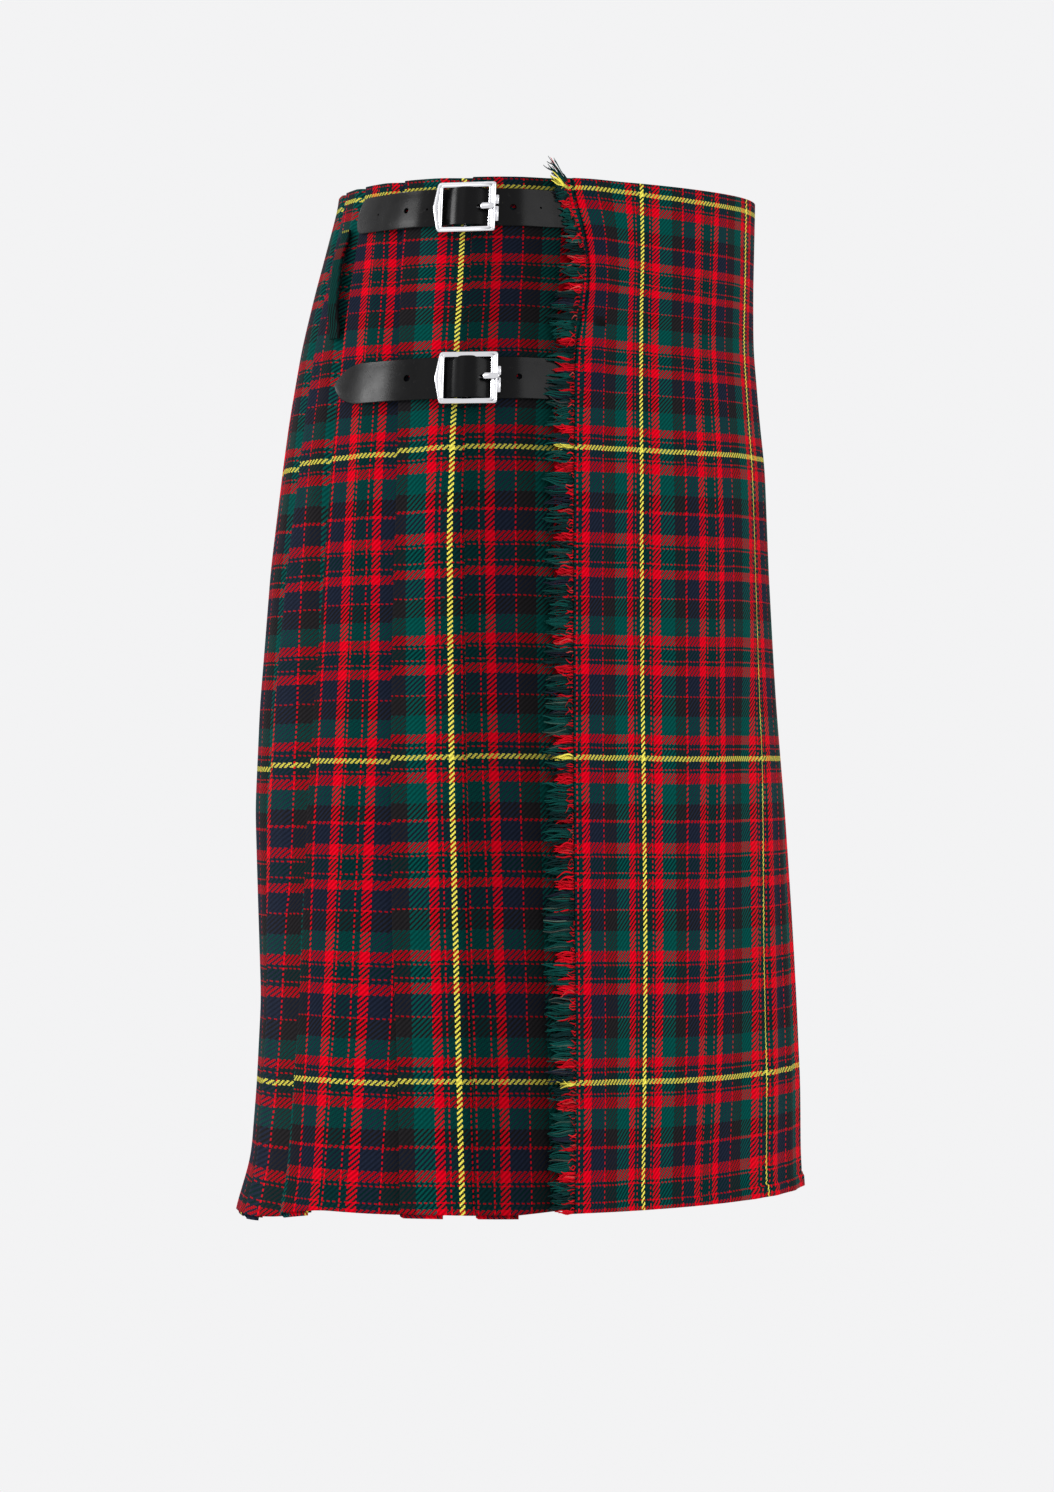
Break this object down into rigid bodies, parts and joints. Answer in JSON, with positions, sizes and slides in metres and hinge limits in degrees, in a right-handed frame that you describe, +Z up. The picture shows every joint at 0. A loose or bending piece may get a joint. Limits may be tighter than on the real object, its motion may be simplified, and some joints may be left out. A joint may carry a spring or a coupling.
{
  "type": "scottish kilt",
  "caption": "Worn knee-length wrap skirt of checked wool twill with a fringed front apron, knife pleats round the back and leather straps with bright buckles at the hips.",
  "frame": {"origin": "centre of the waist inside the kilt, level with the centre line of the upper strap, where the wearer's waist holds it", "axes": "+Z up along the length, -Y the wearer's front, -X the wearer's right, where the straps and the fringed edge are"},
  "size_m": [0.5002, 0.3571, 0.6372],
  "materials": {
    "tartan_cloth": "matt worsted wool twill, green, navy and black ground with red and yellow lines",
    "wool_fringe": "frayed wool weft ends, dark green and red",
    "black_leather": "smooth black strap leather, soft shine",
    "bright_metal": "bright plated"
  },
  "bodies": {
    "root": {"over_apron": "tartan_cloth", "under_apron": "tartan_cloth", "pleat_01": "tartan_cloth", "pleat_02": "tartan_cloth", "pleat_03": "tartan_cloth", "pleat_04": "tartan_cloth", "pleat_05": "tartan_cloth", "pleat_06": "tartan_cloth", "pleat_07": "tartan_cloth", "pleat_08": "tartan_cloth", "pleat_09": "tartan_cloth", "pleat_10": "tartan_cloth", "pleat_11": "tartan_cloth", "belt_loop_right": "tartan_cloth", "belt_loop_left": "tartan_cloth", "fringe": "wool_fringe", "strap_upper": "black_leather", "chape_upper": "black_leather", "buckle_upper": "bright_metal", "prong_upper": "bright_metal", "strap_lower": "black_leather", "chape_lower": "black_leather", "buckle_lower": "bright_metal", "prong_lower": "bright_metal", "strap_left": "black_leather", "chape_left": "black_leather", "buckle_left": "bright_metal", "prong_left": "bright_metal"}
  },
  "joints": []
}
